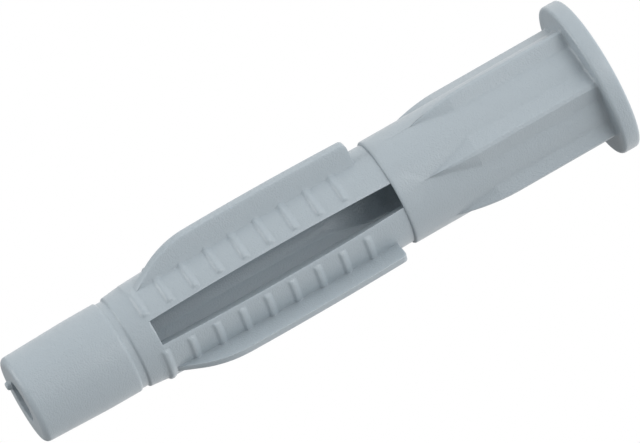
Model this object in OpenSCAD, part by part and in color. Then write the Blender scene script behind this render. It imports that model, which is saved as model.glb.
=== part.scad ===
// Collar wall plug, moulded in one piece. It stands on its collar: z = 0 is the collar's outer
// face, +Z runs along the axis to the nose. One slot faces -Y; a screw goes in at the collar.

/* [Overall] */
// Length from the collar's outer face to the nose end
plug_len = 51; // [42:0.5:62]
// Smallest gap kept between a cut and the surface it opens through
cut_past = 0.5; // [0.3:0.1:1]

/* [Collar] */
// Diameter of the collar
collar_d = 12.8; // [11.6:0.1:16]
// Thickness of the collar
collar_t = 1.45; // [0.9:0.05:2.5]
// Radius of the collar's two rims
collar_edge_r = 0.28; // [0.1:0.02:0.4]
// Radius in the corner between the collar and the sleeve
collar_root_r = 0.2; // [0.1:0.02:0.4]

/* [Sleeve] */
// Diameter of the sleeve, which is also the floor between the ridges
sleeve_d = 8.84; // [8.6:0.02:10]
// Distance from the collar's outer face to the end of the sleeve
sleeve_len = 18.85; // [17.5:0.05:21]
// Chamfer on the sleeve's front edge
sleeve_chamfer = 0.12; // [0.05:0.01:0.2]

/* [Ridges] */
// Height of the ridge crests above the sleeve
ridge_h = 0.8; // [0.4:0.05:1.2]
// Width of the flat land on every crest
ridge_land = 0.34; // [0.2:0.02:0.6]
// Width of a broad ridge at its foot, in line with a slot
broad_foot = 2.5; // [1.8:0.1:2.6]
// Distance from the sleeve's front edge back to where a broad ridge's crest begins to fall
broad_fall_len = 7.35; // [7:0.05:11]
// Distance from the sleeve's front edge back to where a broad ridge begins to narrow
broad_taper_len = 6.85; // [5:0.05:6.9]
// Distance from the sleeve's front edge back to the tip of a broad ridge
broad_tip_gap = 2.65; // [1.5:0.05:4]
// Width of a slim ridge at its foot, in line with a fin
slim_foot = 1.9; // [1.1:0.02:2]
// Distance from the sleeve's front edge back to where a slim ridge's crest begins to fall
slim_fall_len = 8.95; // [7.4:0.05:12]
// Distance from the sleeve's front edge back to where a slim ridge begins to narrow
slim_taper_len = 7.25; // [5:0.05:7.3]
// Distance from the sleeve's front edge back to the tip of a slim ridge
slim_tip_gap = 3.55; // [1.5:0.05:4]

/* [Legs] */
// Diameter over the legs where they are widest
leg_d = 8.58; // [8.2:0.02:8.8]
// Height at which the legs are widest
leg_wide_z = 26.5; // [24:0.5:31]
// Diameter over the legs at the front of the slots
leg_front_d = 8.02; // [7.7:0.02:8.2]
// Diameter over the band that joins the legs, at its front edge
band_d = 7.64; // [7.4:0.02:7.7]

/* [Slots] */
// Distance from the nose end to the front of each slot
slot_front_from_nose = 11; // [10:0.1:12.5]
// Height of the sill left between the sleeve and the rear of each slot
slot_sill = 0.1; // [0.05:0.01:0.3]
// Width of a slot at its two ends
slot_end_w = 2.07; // [1.5:0.01:2.3]
// Width of a slot half way along
slot_mid_w = 2.44; // [1.8:0.01:2.9]

/* [Nose] */
// Distance from the nose end to the shoulder behind the nose
nose_len = 8.45; // [7.5:0.05:9]
// Diameter of the nose at its shoulder
nose_d = 7.56; // [7.2:0.02:8]
// Diameter of the nose at its rounded rim
nose_tip_d = 7.27; // [6.8:0.01:7.5]
// Length of the straight stretch behind the taper
nose_straight = 2.75; // [1.5:0.05:4]
// Radius of the rim
nose_rim_r = 0.5; // [0.3:0.05:0.8]
// Chamfer on the edges at both sides of the groove
neck_edge = 0.12; // [0.05:0.01:0.2]
// Width of the groove between the nose and the band
neck_w = 0.55; // [0.4:0.05:1.2]
// Diameter at the bottom of the groove
neck_d = 7.3; // [6.9:0.02:7.5]

/* [Bores] */
// Diameter of the bore that opens in the collar
bore_d = 5.3; // [4.8:0.1:5.9]
// How far the straight stretch of the bore runs past the sleeve's front edge
bore_past_sleeve = 2.15; // [0.5:0.05:4]
// Length of the cone at the end of the bore
bore_cone_len = 3; // [2:0.1:4]
// Diameter of the channel between the legs, just past that cone
channel_rear_d = 4; // [3.6:0.05:4.4]
// Diameter of the channel between the legs at the front of the slots
channel_front_d = 3.6; // [3.4:0.05:3.8]
// Lead-in at the bore's mouth
bore_lead_in = 0.3; // [0.1:0.05:0.5]
// Diameter of the hole through the nose
nose_hole_d = 3.35; // [2.6:0.05:3.4]

/* [Fins] */
// Height of the fins above the legs
fin_h = 1.7; // [1:0.02:2.4]
// Thickness of a fin at its edge
fin_tip_t = 0.8; // [0.5:0.02:1]
// Thickness of a fin at its foot
fin_foot_t = 0.72; // [0.5:0.02:1.2]
// Lean of the fins off the radial line, in degrees
fin_lean = 24; // [0:1:30]
// Distance from the middle of a leg to the middle of its fin's foot
fin_offset = 0.1; // [0:0.01:0.3]
// Distance from the sleeve to the square rear end of the fins
fin_rear_gap = 1.43; // [1:0.01:3]
// Distance from the nose end to where the fins reach full height
fin_full_from_nose = 16.95; // [16:0.05:19]
// Radius of the curve in which the fins rise
fin_rise_r = 8.2; // [7:0.2:14]
// Radius of the slight bow along the edge of the fins
fin_bow_r = 285; // [150:5:600]
// Radius of the corner at the rear end
fin_corner_r = 0.35; // [0.2:0.05:0.6]

/* [Ribs] */
// Least distance from the sleeve to the last rib
rib_rear_gap = 3.2; // [1.5:0.1:6]
// Distance from one rib to the next
rib_pitch = 2.2; // [1.4:0.1:3]
// Width of a rib at its foot
rib_w = 0.76; // [0.5:0.02:0.9]
// Length of a rib's slope towards the nose
rib_nose_slope = 0.34; // [0.1:0.02:0.4]
// Length of a rib's slope towards the collar
rib_rear_slope = 0.1; // [0.04:0.01:0.2]
// Height of a rib above the leg
rib_h = 0.16; // [0.1:0.01:0.24]
// Angle from the middle of a leg to where its ribs have faded out
rib_reach = 38; // [34:0.5:41]

/* [Gate mark] */
// Width of the small nub left beside the nose hole where the plastic came in
gate_w = 0.8; // [0.4:0.05:1]
// Height of the nub
gate_h = 0.34; // [0.2:0.02:0.5]
// Angle round the axis from the slot that faces -Y to the nub
gate_angle = 139; // [125:1:175]

/* [Hidden] */
$fn = 96;
plug_colour = [0.66, 0.70, 0.74];
legs = 3;
sector = 360 / legs;
slot_dir = -90;
arc_steps = 6;
curve_steps = 10;

collar_r = collar_d / 2;
sleeve_r = sleeve_d / 2;
ridge_r = sleeve_r + ridge_h;
leg_r = leg_d / 2;
leg_front_r = leg_front_d / 2;
band_r = band_d / 2;
bore_r = bore_d / 2;
nose_hole_r = nose_hole_d / 2;
fin_r = leg_r + fin_h;

slot_front_z = plug_len - slot_front_from_nose;
nose_base_z = plug_len - nose_len;
band_front_z = nose_base_z - neck_w;
fin_full_z = plug_len - fin_full_from_nose;
fin_rear_z = sleeve_len + fin_rear_gap;
bore_depth = sleeve_len + bore_past_sleeve;
channel_z = bore_depth + bore_cone_len;
rib_count = 1 + floor((slot_front_z - sleeve_len - rib_rear_gap) / rib_pitch);

function polar(r, a) = [r * cos(a), r * sin(a)];
function arc(centre, r, from, to, steps = arc_steps) =
    [for (i = [0:steps]) centre + polar(r, from + (to - from) * i / steps)];
// Radius of the legs at a height: a shallow barrel that ends at the front of the slots
function leg_surface(z) =
    leg_r - (leg_r - leg_front_r) * pow((z - leg_wide_z) / (slot_front_z - leg_wide_z), 2);

// The turned outline, as [radius, height], from the collar to the nose
module turned_body() {
    barrel = [for (i = [0:curve_steps])
        let (z = sleeve_len + (slot_front_z - sleeve_len) * i / curve_steps) [leg_surface(z), z]];
    rotate_extrude()
        polygon(concat(
            [[0, 0]],
            arc([collar_r - collar_edge_r, collar_edge_r], collar_edge_r, -90, 0),
            arc([collar_r - collar_edge_r, collar_t - collar_edge_r], collar_edge_r, 0, 90),
            arc([sleeve_r + collar_root_r, collar_t + collar_root_r], collar_root_r, 270, 180),
            [[sleeve_r, sleeve_len - sleeve_chamfer], [sleeve_r - sleeve_chamfer, sleeve_len]],
            barrel,
            [[band_r, band_front_z - neck_edge], [neck_d / 2, band_front_z],
             [neck_d / 2, nose_base_z], [nose_d / 2, nose_base_z + neck_edge],
             [nose_d / 2, nose_base_z + nose_straight]],
            arc([nose_tip_d / 2 - nose_rim_r, plug_len - nose_rim_r], nose_rim_r, 0, 90),
            [[0, plug_len]]));
}

// One ridge along +X: straight flanks from a foot on the sleeve to the land on the crest, level
// from the collar, then narrowing to a tip while the crest falls in a curve to the sleeve
module ridge(foot, fall_len, taper_len, tip_gap) {
    fall_z = sleeve_len - fall_len;
    taper_z = sleeve_len - taper_len;
    tip_z = sleeve_len - tip_gap;
    sunk = 0.05;
    foot_x = sqrt(sleeve_r * sleeve_r - foot * foot / 4);
    base_w = (foot + (foot - ridge_land) * sunk / (ridge_r - foot_x)) / 2;
    heights = concat([collar_t / 2, fall_z], [for (i = [1:3]) fall_z + (taper_z - fall_z) * i / 3],
        [for (i = [1:curve_steps]) taper_z + (tip_z + 5 * sunk - taper_z) * i / curve_steps]);
    last = len(heights) - 1;
    polyhedron(
        points = [for (z = heights)
            let (top = ridge_r - ridge_h * pow(max(z - fall_z, 0) / (tip_z - fall_z), 2),
                 k = min((tip_z + 8 * sunk - z) / (tip_z + 8 * sunk - taper_z), 1))
            each [[foot_x - sunk, -base_w * k, z], [top, -ridge_land / 2 * k, z],
                  [top, ridge_land / 2 * k, z], [foot_x - sunk, base_w * k, z]]],
        faces = concat([[0, 1, 2, 3]],
            [for (i = [0:last - 1], j = [0:3]) [4 * i + j, 4 * i + 4 + j, 4 * i + (j + 1) % 4]],
            [for (i = [0:last - 1], j = [0:3])
                [4 * i + 4 + j, 4 * i + 4 + (j + 1) % 4, 4 * i + (j + 1) % 4]],
            [[4 * last + 3, 4 * last + 2, 4 * last + 1, 4 * last]]));
}

module ridges() {
    for (i = [0:legs - 1]) {
        rotate(slot_dir + i * sector)
            ridge(broad_foot, broad_fall_len, broad_taper_len, broad_tip_gap);
        rotate(slot_dir + (i + 0.5) * sector)
            ridge(slim_foot, slim_fall_len, slim_taper_len, slim_tip_gap);
    }
}

// One fin on the leg along +X: a leaning plate, turned off at its edge, with a curved rise at
// the nose end and a square rear end
module fin() {
    root = 1;
    wide_z = (fin_rear_z + 2 * fin_full_z) / 3;
    crest = [for (i = [0:arc_steps])
        let (z = fin_rear_z + fin_corner_r + (fin_full_z - fin_rear_z - fin_corner_r) * i / arc_steps)
        [fin_r - pow(z - wide_z, 2) / 2 / fin_bow_r, z]];
    rise_angle = acos(1 - (crest[arc_steps][0] - leg_front_r + root) / fin_rise_r);
    intersection() {
        translate([leg_r, fin_offset, 0]) rotate(fin_lean)
            linear_extrude(height = plug_len)
                polygon([[-root, -fin_foot_t / 2], [0, -fin_foot_t / 2],
                         [fin_h * 1.3, -fin_tip_t / 2], [fin_h * 1.3, fin_tip_t / 2],
                         [0, fin_foot_t / 2], [-root, fin_foot_t / 2]]);
        rotate_extrude()
            polygon(concat(
                [[0, fin_rear_z]],
                arc([crest[0][0] - fin_corner_r, crest[0][1]], fin_corner_r, -90, 0),
                [for (i = [1:arc_steps]) crest[i]],
                [for (i = [1:curve_steps])
                    [crest[arc_steps][0] - fin_rise_r, fin_full_z]
                        + polar(fin_rise_r, rise_angle * i / curve_steps)],
                [[0, fin_full_z + fin_rise_r * sin(rise_angle)]]));
    }
}

// The ribs of the leg along +X, cut to a window that lets their ends fade into the leg
module leg_ribs() {
    top_r = leg_r + rib_h;
    intersection() {
        rotate_extrude()
            polygon(concat([[bore_r, 0]], rib_outline(), [[bore_r, plug_len]]));
        linear_extrude(height = plug_len)
            polygon([[0, 0], polar(band_r, -rib_reach - 4), polar(top_r, -rib_reach + 6),
                     polar(fin_r, -20), polar(fin_r, 20),
                     polar(top_r, rib_reach - 6), polar(band_r, rib_reach + 4)]);
    }
}

// Rib crests above the barrel of the legs and rib feet just under it
function rib_outline() = [for (i = [rib_count - 1:-1:0])
    let (z = slot_front_z - i * rib_pitch, r = leg_surface(z), rear = z - rib_w / 2, nose = z + rib_w / 2)
    each [[r - rib_h, rear - rib_rear_slope / 4], [r, rear], [r + rib_h, rear + rib_rear_slope],
          [r + rib_h, nose - rib_nose_slope], [r, nose], [r - rib_h, nose + rib_nose_slope / 4]]];

// One slot along +X, a little wider half way along than at its ends
module slot() {
    rear_z = sleeve_len + slot_sill;
    length = slot_front_z - rear_z;
    bow = (slot_mid_w - slot_end_w) / 2;
    side = [for (i = [0:curve_steps])
        let (t = i / curve_steps)
        [rear_z + length * t, slot_end_w / 2 + 4 * bow * t * (1 - t)]];
    rotate([0, -90, 0]) mirror([0, 0, 1])
        linear_extrude(height = leg_r + cut_past)
            polygon(concat(side, [for (i = [curve_steps:-1:0]) [side[i][0], -side[i][1]]]));
}

module bores() {
    translate([0, 0, -cut_past]) cylinder(r = bore_r, h = bore_depth + cut_past);
    translate([0, 0, -cut_past])
        cylinder(r1 = bore_r + bore_lead_in + cut_past, r2 = bore_r, h = bore_lead_in + cut_past);
    translate([0, 0, bore_depth])
        cylinder(r1 = bore_r, r2 = channel_rear_d / 2, h = bore_cone_len);
    translate([0, 0, channel_z])
        cylinder(d1 = channel_rear_d, d2 = channel_front_d, h = slot_front_z - slot_sill - channel_z);
    translate([0, 0, slot_front_z - 2 * slot_sill])
        cylinder(r = nose_hole_r, h = slot_front_from_nose + 2 * slot_sill + cut_past);
}

module gate_nub() {
    rotate(slot_dir + gate_angle) translate([nose_hole_r + gate_w / 2, 0, plug_len - cut_past])
        cylinder(d1 = gate_w, d2 = gate_w * 0.7, h = cut_past + gate_h);
}

module wall_plug() {
    color(plug_colour)
        difference() {
            union() {
                turned_body();
                ridges();
                for (i = [0:legs - 1]) rotate(slot_dir + (i + 0.5) * sector) {
                    fin();
                    leg_ribs();
                }
                gate_nub();
            }
            for (i = [0:legs - 1]) rotate(slot_dir + i * sector) slot();
            bores();
        }
}

wall_plug();
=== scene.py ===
import math
import bmesh
import bpy
from mathutils import Matrix, Vector


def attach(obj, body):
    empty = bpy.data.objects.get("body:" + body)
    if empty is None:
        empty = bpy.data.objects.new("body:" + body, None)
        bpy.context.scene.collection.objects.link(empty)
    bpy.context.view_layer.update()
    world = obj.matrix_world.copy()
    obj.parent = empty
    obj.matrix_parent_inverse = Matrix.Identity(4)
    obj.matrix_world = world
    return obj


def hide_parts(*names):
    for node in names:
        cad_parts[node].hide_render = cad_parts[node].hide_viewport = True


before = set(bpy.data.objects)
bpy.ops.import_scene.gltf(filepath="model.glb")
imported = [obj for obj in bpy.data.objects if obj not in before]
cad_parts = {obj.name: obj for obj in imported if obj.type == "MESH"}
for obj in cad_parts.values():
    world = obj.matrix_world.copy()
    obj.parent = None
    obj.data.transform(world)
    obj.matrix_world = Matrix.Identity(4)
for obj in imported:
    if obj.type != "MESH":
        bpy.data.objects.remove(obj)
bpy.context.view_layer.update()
scene = bpy.context.scene

# Collar and sleeve: the rear of the plug, which is one injection moulding in blue-grey plastic. The collar
# stops it at the wall, six ridges keep it from turning, and a core pin in the mould leaves the screw bore.
# The plug stands on its collar, nose up, with a slot towards -Y. Sizes are in millimetres.
millimetre = 0.001
collar_r = 6.4
collar_thick = 1.45
collar_round = 0.28
bore_r = 2.65
mouth_wider = 0.33
sleeve_r = 4.42
sleeve_end = 18.85
sleeve_end_round = 0.18
sleeve_end_dish = 0.35
sleeve_root_round = 0.24
ridge_top = 5.22
ridge_half_land = 0.17
ridge_foot_round = 0.14
ridge_crest_round = 0.05
# Half the foot's width, and the heights where the crest starts to fall, the foot to narrow, and the tip is
broad_ridge = (1.25, 11.5, 12.0, 16.2)
slim_ridge = (0.95, 9.9, 11.6, 15.3)
ridge_point_length = 0.4
ridge_least_rise = 0.005
plug_skin = bmesh.new()


def ring(points):
    """A row of vertices round the plug."""
    return [plug_skin.verts.new((x * millimetre, y * millimetre, z * millimetre)) for x, y, z in points]


def skin(a, b, closed=True):
    """Faces between two rows of as many vertices each."""
    for i in range(len(a) if closed else len(a) - 1):
        j = (i + 1) % len(a)
        corners = list(dict.fromkeys((a[i], a[j], b[j], b[i])))
        if len(corners) > 2:
            plug_skin.faces.new(corners)


def on_circle(r, start, end, steps):
    """Points between two angles, both ends left out."""
    angles = [start + (end - start) * (i + 1) / (steps + 1) for i in range(steps)]
    return [(r * math.cos(a), r * math.sin(a)) for a in angles]


def between(p, q, steps):
    """Points on the line between two points, both ends left out."""
    parts = [(i + 1) / (steps + 1) for i in range(steps)]
    return [(p[0] + (q[0] - p[0]) * t, p[1] + (q[1] - p[1]) * t) for t in parts]


def softened(corner, before, after, reach):
    """The corner between two neighbours as a short curve of four points."""
    c, p, q = Vector(corner), Vector(before), Vector(after)
    a = c + (p - c).normalized() * min(reach, 0.45 * (p - c).length)
    b = c + (q - c).normalized() * min(reach, 0.45 * (q - c).length)
    return [tuple(a * (1 - t) ** 2 + c * 2 * t * (1 - t) + b * t * t) for t in (0, 1 / 3, 2 / 3, 1)]


def mirrored(points):
    return [(x, -y) for x, y in reversed(points)]


def turned(points, degrees):
    c, s = math.cos(math.radians(degrees)), math.sin(math.radians(degrees))
    return [(x * c - y * s, x * s + y * c) for x, y in points]


def meets_circle(r, point_at, low, high):
    """Where a line that leads outwards, as point_at(low) to point_at(high), meets the circle of radius r."""
    for _ in range(22):
        middle = (low + high) / 2
        low, high = (middle, high) if math.hypot(*point_at(middle)) < r else (low, middle)
    return point_at(middle)


def ridge_corners(half_foot, fall_z, narrow_z, tip_z, z):
    """The foot and the crest's edge on one side of a ridge that lies along +X."""
    crest_x = ridge_top - (ridge_top - sleeve_r) * (max(z - fall_z, 0) / (tip_z - fall_z)) ** 2
    if crest_x < sleeve_r + ridge_least_rise:
        return (sleeve_r, 0.03), (sleeve_r + 0.004, 0.01)
    point_z = tip_z + ridge_point_length
    width = max(min((point_z - z) / (point_z - narrow_z), 1), 0.01)
    sunk = 0.05
    foot_x = math.sqrt(sleeve_r ** 2 - half_foot ** 2)
    sunk_half = half_foot + (half_foot - ridge_half_land) * sunk / (ridge_top - foot_x)
    base = Vector((foot_x - sunk, width * sunk_half))
    crest = Vector((crest_x, width * ridge_half_land))
    return tuple(meets_circle(sleeve_r, lambda t: base.lerp(crest, t), 0.0, 1.0)), tuple(crest)


def sleeve_outline(z):
    """The sleeve with its ridges, cut across at height z: broad ones over the slots, slim over the fins."""
    ridges = [ridge_corners(*(slim_ridge if i % 2 else broad_ridge), z) for i in range(6)]
    points = []
    for i, (foot, crest) in enumerate(ridges):
        foot_angle = math.atan2(foot[1], foot[0])
        low_foot, low_crest = (foot[0], -foot[1]), (crest[0], -crest[1])
        beside = (sleeve_r * math.cos(foot_angle + 0.1), -sleeve_r * math.sin(foot_angle + 0.1))
        half = softened(low_foot, beside, low_crest, ridge_foot_round) + between(low_foot, low_crest, 3)
        half += softened(low_crest, low_foot, crest, ridge_crest_round)
        next_foot = ridges[(i + 1) % 6][0]
        next_angle = math.radians(60) - math.atan2(next_foot[1], next_foot[0])
        plain = on_circle(sleeve_r, foot_angle + 0.03, next_angle - 0.03, 9)
        points += turned(half + between(low_crest, crest, 3) + mirrored(half) + plain, -90 + 60 * i)
    return points


def sleeve_ring(z, out=0.0):
    grown = [(x, y, 1 + out / math.hypot(x, y)) for x, y in sleeve_outline(z)]
    return ring([(x * k, y * k, z) for x, y, k in grown])


directions = [Vector(point).normalized() for point in sleeve_outline(5.0)]


def round_ring(r, z):
    return ring([(r * d.x, r * d.y, z) for d in directions])


# Down the bore's wall from the sleeve's end to the mouth, out over the collar's face, and round its edge
rings = [round_ring(bore_r, z) for z in (sleeve_end - sleeve_end_dish, 12.0, 5.0, 0.42)]
mouth = ((bore_r + 0.03, 0.3), (bore_r + 0.26, 0.05), (bore_r + mouth_wider, 0.0))
rings += [round_ring(r, z) for r, z in mouth]
rings += [round_ring(r, 0.0) for r in (3.2, 4.6, 6.0)]
for middle, start in ((collar_round, -90), (collar_thick - collar_round, 0)):
    for a in [math.radians(start + 18 * i) for i in range(6)]:
        edge_r = collar_r - collar_round * (1 - math.cos(a))
        rings.append(round_ring(edge_r, middle + collar_round * math.sin(a)))
rings.append(round_ring(collar_r - 0.5, collar_thick))
# Up the sleeve, from the rounding at its root to the tips of the ridges
for a in [math.radians(degrees) for degrees in (0, 25, 52, 90)]:
    rings.append(sleeve_ring(collar_thick + sleeve_root_round * (1 - math.cos(a)),
                             sleeve_root_round * (1 - math.sin(a))))
ridge_heights = [slim_ridge[1] + 0.15 * i for i in range(45)]
ridge_heights += [ridge[2] + step for ridge in (slim_ridge, broad_ridge) for step in (-0.03, 0.02)]
rings += [sleeve_ring(z) for z in [1.9, 4.0, 7.0, 8.5] + sorted(ridge_heights)]
# The plain end, and the dished end face back to the bore
rings += [round_ring(sleeve_r, z) for z in (17.4, 18.5)]
for a in [math.radians(22.5 * i) for i in range(5)]:
    rings.append(round_ring(sleeve_r - sleeve_end_round * (1 - math.cos(a)),
                            sleeve_end - sleeve_end_round * (1 - math.sin(a))))
rings.append(round_ring((sleeve_r - sleeve_end_round + bore_r) / 2, sleeve_end - sleeve_end_dish / 2))
for a, b in zip(rings, rings[1:] + rings[:1]):
    skin(a, b)

# Legs: three legs that a screw spreads against the wall, moulded on to the sleeve with a slot between each
# two. Each leg is barrel shaped, with nine shallow ribs that grip, and a fin that leans the same way round.
leg_r = 4.29
leg_full_z = 26.5
leg_start = 18.4
leg_end = 40.0
leg_end_r = 4.01
slot_start = 18.95
slot_end_half_width = 1.035
slot_mid_half_width = 1.22
slot_edge_round = 0.09
channel_edge_round = 0.06
channel_start, channel_start_r = 24.0, 2.0
channel_end, channel_end_r = 39.9, 1.8
cone_start = 21.0
nose_hole_r = 1.675
rib_first = 22.4
rib_pitch = 2.2
rib_count = 9
rib_end_degrees = 35.5
rib_end_fade = 3.8
# How far from its middle, and how high, a rib is: its rear slope is long and its front one steep
rib_shape = ((-0.36, 0.0), (-0.3, 0.02), (-0.2, 0.075), (-0.1, 0.13), (-0.02, 0.153), (0.08, 0.162),
             (0.17, 0.158), (0.22, 0.14), (0.3, 0.078), (0.37, 0.018), (0.42, 0.0))
rib_near_end = 0.13
rib_at_end = 0.156
fin_start = 20.28
fin_start_round = 0.35
fin_lean = math.radians(24)
fin_foot = Vector((leg_r, 0.1))
fin_half_thick = 0.36
fin_widening = 0.018
fin_start_bevel = 0.06
fin_crest_r = 5.99
fin_crest_bow_r = 285
fin_crest_full_z = 29.46
fin_sweep_z, fin_sweep_r = 34.05, 8.2
fin_straight_z, fin_straight_slope = 38.0, 0.55
fin_foot_round = 0.035
fin_crest_round = 0.09


def leg_radius(z):
    return leg_r - (leg_r - leg_end_r) * ((z - leg_full_z) / (leg_end - leg_full_z)) ** 2


def slot_half_width(z):
    t = min(max((z - slot_start) / (leg_end - slot_start), 0), 1)
    return slot_end_half_width + 4 * (slot_mid_half_width - slot_end_half_width) * t * (1 - t)


def inner_radius(z):
    """The bore, a cone, and the narrower channel between the legs."""
    if z < slot_start:
        return bore_r + 0.03
    if z <= cone_start:
        return bore_r
    cone = bore_r - (bore_r - channel_start_r) * (z - cone_start) / (channel_start - cone_start)
    t = (z - channel_start) / (channel_end - channel_start)
    return max(cone, channel_start_r - (channel_start_r - channel_end_r) * t)


def fin_crest(z):
    """The radius of the fin's long edge: a slight bow, a sweep down to the leg, and a rounded rear corner."""
    crest = fin_crest_r - (min(z, fin_sweep_z) - fin_crest_full_z) ** 2 / (2 * fin_crest_bow_r)
    swept = max(min(z, fin_straight_z) - fin_sweep_z, 0)
    crest -= fin_sweep_r - math.sqrt(fin_sweep_r ** 2 - swept ** 2)
    crest -= fin_straight_slope * max(z - fin_straight_z, 0)
    before_round = min(max(fin_start + fin_start_round - z, 0), fin_start_round)
    return crest - fin_start_round + math.sqrt(fin_start_round ** 2 - before_round ** 2)


def fin_side(r, side, thinner):
    """Where one side of the fin meets the circle of radius r, on a leg that lies along +X."""
    out = Vector((math.cos(fin_lean), math.sin(fin_lean)))
    aside = Vector((-math.sin(fin_lean), math.cos(fin_lean)))

    def side_point(up):
        return fin_foot + up * out + side * (fin_half_thick + fin_widening * up - thinner) * aside

    return tuple(meets_circle(r, side_point, -1.2, 3.0))


def rib_share(angle):
    """1 along the rib, falling to 0 at its end near the slot."""
    t = min(max((math.degrees(abs(angle)) - rib_end_degrees) / rib_end_fade, 0), 1)
    return 1 - t * t * (3 - 2 * t)


def raised(points, r, rib):
    """The points' directions, each at radius r plus the rib's height there."""
    angles = [math.atan2(y, x) for x, y in points]
    radii = [r + rib * rib_share(a) for a in angles]
    return [(k * math.cos(a), k * math.sin(a)) for k, a in zip(radii, angles)]


def leg_section(z, rib, crest, thinner, inner):
    """One leg cut across: its outer line, a slot wall from the outer edge in, and its inner line."""
    r, half = leg_radius(z), slot_half_width(z)
    edge = math.radians(60) - math.asin(half / r)
    corner = (r * math.cos(edge), r * math.sin(edge))
    inner_edge = math.radians(60) - math.asin(half / inner)
    inner_corner = (inner * math.cos(inner_edge), inner * math.sin(inner_edge))
    right, left = fin_side(r + rib, -1, thinner), fin_side(r + rib, 1, thinner)
    right_angle, left_angle = math.atan2(right[1], right[0]), math.atan2(left[1], left[0])
    fade_angles = [math.radians(degrees) for degrees in (39.6, 38.8, 38.1, 37.4, 36.6, 35.6)]
    fade = [(math.cos(a), math.sin(a)) for a in reversed(fade_angles)]
    slot_edge = softened(corner, on_circle(r, edge, fade_angles[0], 1)[0], inner_corner, slot_edge_round)
    line = mirrored(slot_edge) + raised(mirrored(fade), r, rib)
    line += raised(on_circle(r, -fade_angles[-1], right_angle, 8), r, rib)
    beside_left = on_circle(r, left_angle, fade_angles[-1], 8)
    if crest > r + rib + 0.02:
        tip_right, tip_left = fin_side(crest, -1, thinner), fin_side(crest, 1, thinner)
        tip_angles = [math.atan2(y, x) for x, y in (tip_right, tip_left)]
        line += softened(right, line[-1], tip_right, fin_foot_round) + between(right, tip_right, 3)
        line += softened(tip_right, right, tip_left, fin_crest_round) + on_circle(crest, *tip_angles, 3)
        line += softened(tip_left, tip_right, left, fin_crest_round) + between(tip_left, left, 3)
        line += softened(left, tip_left, beside_left[0], fin_foot_round)
    else:
        line += raised(on_circle(r, right_angle - 0.02, left_angle + 0.02, 25), r, rib)
    line += raised(beside_left, r, rib) + raised(fade, r, rib) + slot_edge
    wall = between(line[-1], inner_corner, 7)
    across = on_circle(inner, inner_edge, -inner_edge, 7)
    inner_line = softened(inner_corner, wall[-1], across[0], channel_edge_round)
    return line, wall, inner_line + across + mirrored(inner_line)


# Each cut across a leg is its height, the rib's height, and how much thinner the fin is for its rear corners
cuts = [(z, 0.0, 0.0) for z in (leg_start, 18.9, 19.0, 19.5, 20.0, fin_start)]
cuts += [(z, 0.0, fin_start_bevel) for z in (fin_start, fin_start + 0.001)]
cuts += [(z, 0.0, 0.0) for z in (20.31, 20.36, 20.44, 20.55, 20.7, 21.0, 21.3, 21.65)]
for z in [rib_first + rib_pitch * i for i in range(rib_count)]:
    cuts += [(z + step, height, 0.0) for step, height in rib_shape if z + step < channel_end + 0.05]
    if z < leg_end - 1:
        cuts += [(z + step, 0.0, 0.0) for step in (0.55, 0.8, 1.1, 1.4, 1.65, 1.8)]
sections = []
for z, rib, thinner in sorted(cuts):
    has_fin = z > fin_start or thinner > 0
    crest = fin_crest(z) if has_fin else 0.0
    sections.append((z, leg_section(z, rib, crest, thinner, inner_radius(z))))
sections.append((channel_end, leg_section(channel_end, rib_near_end, 0.0, 0.0, nose_hole_r)))
sections.append((leg_end, leg_section(leg_end, rib_at_end, 0.0, 0.0, nose_hole_r)))
leg_ends = []
for leg_degrees in (-30, 90, 210):
    below = None
    for z, (line, wall, inner_line) in sections:
        outline = line + wall + inner_line + mirrored(wall)
        here = ring([(x, y, z) for x, y in turned(outline, leg_degrees)])
        if below:
            skin(below, here)
        else:
            plug_skin.faces.new(list(reversed(here)))
        below = here
    wall_start, inner_start = len(line), len(line) + len(wall)
    inner_stop = inner_start + len(inner_line)
    leg_ends.append({"line": here[:wall_start], "left": here[wall_start:inner_start],
                     "inner": here[inner_start:inner_stop], "right": list(reversed(here[inner_stop:]))})

# Band and nose: the band joins the legs again, and a narrow groove parts it from the nose, which leads the
# plug into its hole. They are solid round the small hole that a long screw's tip comes out of.
band_taper = 0.101
nose_end = 51.0
nose_end_r = 3.635
nose_rim_round = 0.5
slot_steps = 7
slot_front_round = 0.06
# Heights and radii of the groove from the band's edge, and of the nose up to its rim
groove = ((41.76, 3.832), (41.84, 3.82), (41.9, 3.79), (41.95, 3.735), (41.985, 3.68), (42.03, 3.655),
          (42.08, 3.65), (42.48, 3.65), (42.54, 3.66), (42.58, 3.7), (42.64, 3.755), (42.72, 3.778))
nose = ((42.82, 3.78), (44.2, 3.78), (45.3, 3.78), (45.6, 3.775), (47.0, 3.734), (48.6, 3.689), (50.2, 3.643))


def front_angles(rows):
    """Directions round the whole plug: each leg's own, then the slot's. True marks one in a slot."""
    out = []
    for row, after in zip(rows, rows[1:] + rows[:1]):
        out += [(math.atan2(v.co.y, v.co.x), False) for v in row]
        last, first = out[-1][0], math.atan2(after[0].co.y, after[0].co.x)
        gap = (first - last) % (2 * math.pi)
        out += [(last + gap * (i + 1) / (slot_steps + 1), True) for i in range(slot_steps)]
    return out


leg_lines = [end["line"] for end in leg_ends]
inner_lines = [list(reversed(end["inner"])) for end in leg_ends]
outer_angles = front_angles(leg_lines)
hole_angles = front_angles(inner_lines)


def front_points(z, r, rib, slot_drop=0.0):
    points = []
    for a, in_slot in outer_angles:
        on_leg = (a + math.radians(90)) % math.radians(120) - math.radians(60)
        k = r + rib * rib_share(on_leg) - (slot_drop if in_slot else 0)
        points.append((k * math.cos(a), k * math.sin(a), z))
    return points


def hole_points(r, z):
    return [(r * math.cos(a), r * math.sin(a), z) for a, _ in hole_angles]


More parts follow.
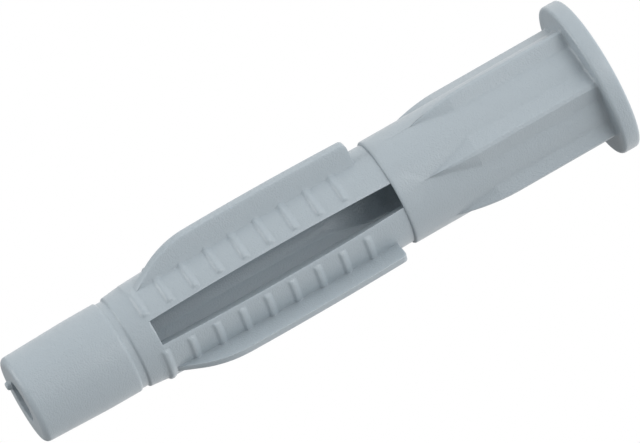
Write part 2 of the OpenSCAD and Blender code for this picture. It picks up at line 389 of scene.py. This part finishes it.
def joined(rows, points):
    """A ring of the legs' own vertices, with new ones across the slots."""
    out, used = [], 0
    for row in rows:
        used += len(row)
        out += row + ring(points[used:used + slot_steps])
        used += slot_steps
    return out


leg_edge = joined(leg_lines, front_points(leg_end, leg_end_r, rib_at_end, slot_front_round))
# The front half of the last rib lies on the band, and starts rounded over the slots' ends
outlines = [(leg_end + 0.018, 0.16, 0.018)]
outlines += [(leg_end + step, height, 0.0) for step, height in rib_shape if step > 0]
outlines += [(leg_end + step, 0.0, 0.0) for step in (0.8, 1.3)]
front_rings = []
for z, rib, slot_drop in outlines:
    front_rings.append(front_points(z, leg_end_r - band_taper * (z - leg_end), rib, slot_drop))
front_rings += [front_points(z, r, 0.0) for z, r in groove + nose]
for a in [math.radians(10 * i) for i in range(10)]:
    rim_r = nose_end_r - nose_rim_round * (1 - math.cos(a))
    front_rings.append(front_points(nose_end - nose_rim_round * (1 - math.sin(a)), rim_r, 0.0))
front_rings += [front_points(nose_end, r, 0.0) for r in (2.9, 2.3)]
below = leg_edge
for points in front_rings:
    here = ring(points)
    skin(below, here)
    below = here
hole_mouth = ((nose_hole_r + 0.085, nose_end), (nose_hole_r + 0.025, nose_end - 0.015))
hole = [ring(hole_points(r, z)) for r, z in hole_mouth]
hole += [ring(hole_points(nose_hole_r, z)) for z in (50.93, 49.0, 45.0, 41.0)]
hole_foot = joined(inner_lines, hole_points(nose_hole_r, leg_end))
for a, b in zip(hole, hole[1:] + [hole_foot]):
    skin(a, b)
rim_edges = []
for loop in (below, hole[0]):
    rim_edges += [plug_skin.edges.get((a, b)) for a, b in zip(loop, loop[1:] + loop[:1])]
bmesh.ops.bridge_loops(plug_skin, edges=rim_edges)
# The flat front end of each slot, from the outer edge in to the hole
for i, (here, after) in enumerate(zip(leg_ends, leg_ends[1:] + leg_ends[:1])):
    start = (i + 1) * len(here["line"]) + i * slot_steps
    start_in = (i + 1) * len(here["inner"]) + i * slot_steps
    left = [here["line"][-1]] + here["left"] + [here["inner"][0]]
    right = [after["line"][0]] + after["right"] + [after["inner"][-1]]
    across, across_in = leg_edge[start:start + slot_steps], hole_foot[start_in:start_in + slot_steps]
    row = [left[0]] + across + [right[0]]
    for k in range(1, len(left)):
        middle = across_in
        if k < len(left) - 1:
            spots = [a.co.lerp(b.co, k / (len(left) - 1)) for a, b in zip(across, across_in)]
            middle = [plug_skin.verts.new((spot.x, spot.y, leg_end * millimetre)) for spot in spots]
        next_row = [left[k]] + middle + [right[k]]
        skin(row, next_row, closed=False)
        row = next_row

# Gate nub: the stub of plastic that is left on the nose's face where the plug was broken off its runner.
# It stands between the hole and the rim, on the side away from the front slot.
nub_out, nub_angle = 2.075, math.radians(49)
nub_x, nub_y = nub_out * math.cos(nub_angle), nub_out * math.sin(nub_angle)
nub_rings = []
for r, z in ((0.44, 50.98), (0.4, 51.01), (0.38, 51.06), (0.33, 51.24), (0.29, 51.31), (0.22, 51.34)):
    around = [math.radians(15 * i) for i in range(24)]
    nub_rings.append(ring([(nub_x + r * math.cos(a), nub_y + r * math.sin(a), z) for a in around]))
for a, b in zip(nub_rings, nub_rings[1:]):
    skin(a, b)
plug_skin.faces.new(nub_rings[-1])
plug_skin.faces.new(list(reversed(nub_rings[0])))

# The last rib fades out on the far half of the leg beside +X
fade_start, fade_length, faded_until = -44, 20, 32
for v in plug_skin.verts:
    z, r = v.co.z / millimetre, v.co.xy.length / millimetre
    degrees = math.degrees(math.atan2(v.co.y, v.co.x))
    plain = leg_radius(z)
    if abs(z - leg_end) < 0.5 and plain < r < plain + 0.2 and fade_start < degrees < faded_until:
        t = min((degrees - fade_start) / fade_length, 1)
        k = (plain + (r - plain) * (1 - t * t * (3 - 2 * t))) / r
        v.co.x, v.co.y = v.co.x * k, v.co.y * k

# Every closed shell of the finished surface faces outwards: the sleeve's, the legs' and the nub's
bmesh.ops.remove_doubles(plug_skin, verts=plug_skin.verts, dist=0.0001 * millimetre)
bmesh.ops.recalc_face_normals(plug_skin, faces=plug_skin.faces)
plug_skin.normal_update()
unseen = set(plug_skin.faces)
while unseen:
    shell = [unseen.pop()]
    for face in shell:
        beside = {other for edge in face.edges for other in edge.link_faces} & unseen
        unseen -= beside
        shell += beside
    if sum(face.calc_center_median().dot(face.normal) * face.calc_area() for face in shell) < 0:
        bmesh.ops.reverse_faces(plug_skin, faces=shell)
# It shades smoothly, apart from its creases
for face in plug_skin.faces:
    face.smooth = True
crease = math.radians(38)
for edge in plug_skin.edges:
    if edge.calc_face_angle(0) > crease:
        edge.smooth = False
plug_mesh = bpy.data.meshes.new("wall_plug_surface")
plug_skin.to_mesh(plug_mesh)
plug_skin.free()
plug = bpy.data.objects.new("wall_plug_surface", plug_mesh)
scene.collection.objects.link(plug)
shading = plug.modifiers.new("weighted_normals", "WEIGHTED_NORMAL")
shading.keep_sharp = True

# Blue-grey plastic as it leaves a spark-eroded mould: satin, with a grain of about an eighth of a
# millimetre, and a little light passing just under its surface
blue_grey = (0.403, 0.46, 0.499, 1)
grain_per_millimetre = 8
grain_depth = 0.03 * millimetre
light_depth = 0.8 * millimetre
plastic = bpy.data.materials.new("plug_plastic")
plastic.use_nodes = True
nodes, links = plastic.node_tree.nodes, plastic.node_tree.links
shader = nodes["Principled BSDF"]
shader.inputs["Base Color"].default_value = blue_grey
shader.inputs["Roughness"].default_value = 0.32
shader.inputs["Subsurface Weight"].default_value = 0.2
shader.inputs["Subsurface Radius"].default_value = (1.0, 1.0, 1.0)
shader.inputs["Subsurface Scale"].default_value = light_depth
place = nodes.new("ShaderNodeTexCoord")
grain = nodes.new("ShaderNodeTexNoise")
grain.inputs["Scale"].default_value = grain_per_millimetre / millimetre
grain.inputs["Detail"].default_value = 1.5
links.new(place.outputs["Object"], grain.inputs["Vector"])
bump = nodes.new("ShaderNodeBump")
bump.inputs["Strength"].default_value = 1.0
bump.inputs["Distance"].default_value = grain_depth
links.new(grain.outputs["Fac"], bump.inputs["Height"])
links.new(bump.outputs["Normal"], shader.inputs["Normal"])
plug.data.materials.append(plastic)
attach(plug, "root")
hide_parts("wall_plug")

# Floor: a plain sheet that glows white like a light table. It casts no shadow, so that the two soft
# panels below it light the plug through it.
floor_size = 6.0
bpy.ops.mesh.primitive_plane_add(size=floor_size, location=(0, 0, -0.1 * millimetre))
floor = bpy.context.object
floor.name = "floor"
white = bpy.data.materials.new("light_table")
white.use_nodes = True
shader = white.node_tree.nodes["Principled BSDF"]
shader.inputs["Base Color"].default_value = (0, 0, 0, 1)
shader.inputs["Specular IOR Level"].default_value = 0.0
shader.inputs["Emission Color"].default_value = (1, 1, 1, 1)
shader.inputs["Emission Strength"].default_value = 1.0
floor.data.materials.append(white)
floor.visible_shadow = False

# Camera: a long lens on the front slot's side, a little above level, so that the nose's hole shows. It is
# rolled, so that the standing plug lies across the picture from lower left to upper right.
picture_width = 640
lens, sensor = 500.0, 36.0
pixels_per_metre = 13140.0
slope, tilt, roll = math.radians(29.8), math.radians(8.6), math.radians(8.0)
lens_pixels = lens / sensor * picture_width
distance = lens_pixels / pixels_per_metre
along = Vector((-math.cos(slope) * math.cos(tilt), -math.sin(slope) * math.cos(tilt), math.sin(tilt)))
across = Vector((math.sin(slope), -math.cos(slope), 0.0))
facing = Vector((math.cos(slope) * math.sin(tilt), math.sin(slope) * math.sin(tilt), math.cos(tilt)))
back = -(math.cos(roll) * facing + math.sin(roll) * across)
turn = Matrix((back.cross(along), back, along))
aim = Vector((0, 0, 24.74 * millimetre))
pixels_right, pixels_up = -0.2, -9.8
in_view = Vector((pixels_right / pixels_per_metre, pixels_up / pixels_per_metre, -distance))
camera = bpy.data.objects.new("camera", bpy.data.cameras.new("camera"))
camera.data.lens = lens
camera.data.sensor_width = sensor
camera.data.clip_start = 0.01
camera.data.clip_end = 20.0
camera.matrix_world = Matrix.Translation(aim - turn @ in_view) @ turn.to_4x4()
scene.collection.objects.link(camera)
scene.camera = camera

# Light: a white room and four soft square panels. Two shine from the collar's side, up through the floor,
# and two from the nose's side.
world = bpy.data.worlds.new("world")
world.use_nodes = True
world.node_tree.nodes["Background"].inputs["Color"].default_value = (1, 1, 1, 1)
world.node_tree.nodes["Background"].inputs["Strength"].default_value = 0.33
scene.world = world
panel_distance = 0.5
plug_middle = Vector((0, 0, 25 * millimetre))
# Degrees round the plug from the camera's side, degrees towards the collar, side in metres, watts
panels = {"key_panel": (0, 33, 0.21, 0.54), "side_panel": (-55, 36, 0.21, 0.19),
          "top_panel": (-55, -50, 0.3, 0.65), "back_panel": (-90, -50, 0.3, 0.54)}
for name, (round_degrees, collar_degrees, side, watts) in panels.items():
    a, b = math.radians(round_degrees), math.radians(collar_degrees)
    to_collar = Vector((math.cos(slope), math.sin(slope), 0))
    over = Vector((math.sin(slope) * math.sin(a), -math.cos(slope) * math.sin(a), math.cos(a)))
    out = turn @ (over * math.cos(b) + to_collar * math.sin(b))
    tall = turn @ (to_collar * math.cos(b) - over * math.sin(b))
    panel = bpy.data.objects.new(name, bpy.data.lights.new(name, "AREA"))
    panel.data.size = side
    panel.data.energy = watts
    panel.matrix_world = (Matrix.Translation(plug_middle + panel_distance * out)
                          @ Matrix((tall.cross(out), tall, out)).transposed().to_4x4())
    scene.collection.objects.link(panel)
scene.view_settings.view_transform = "Standard"
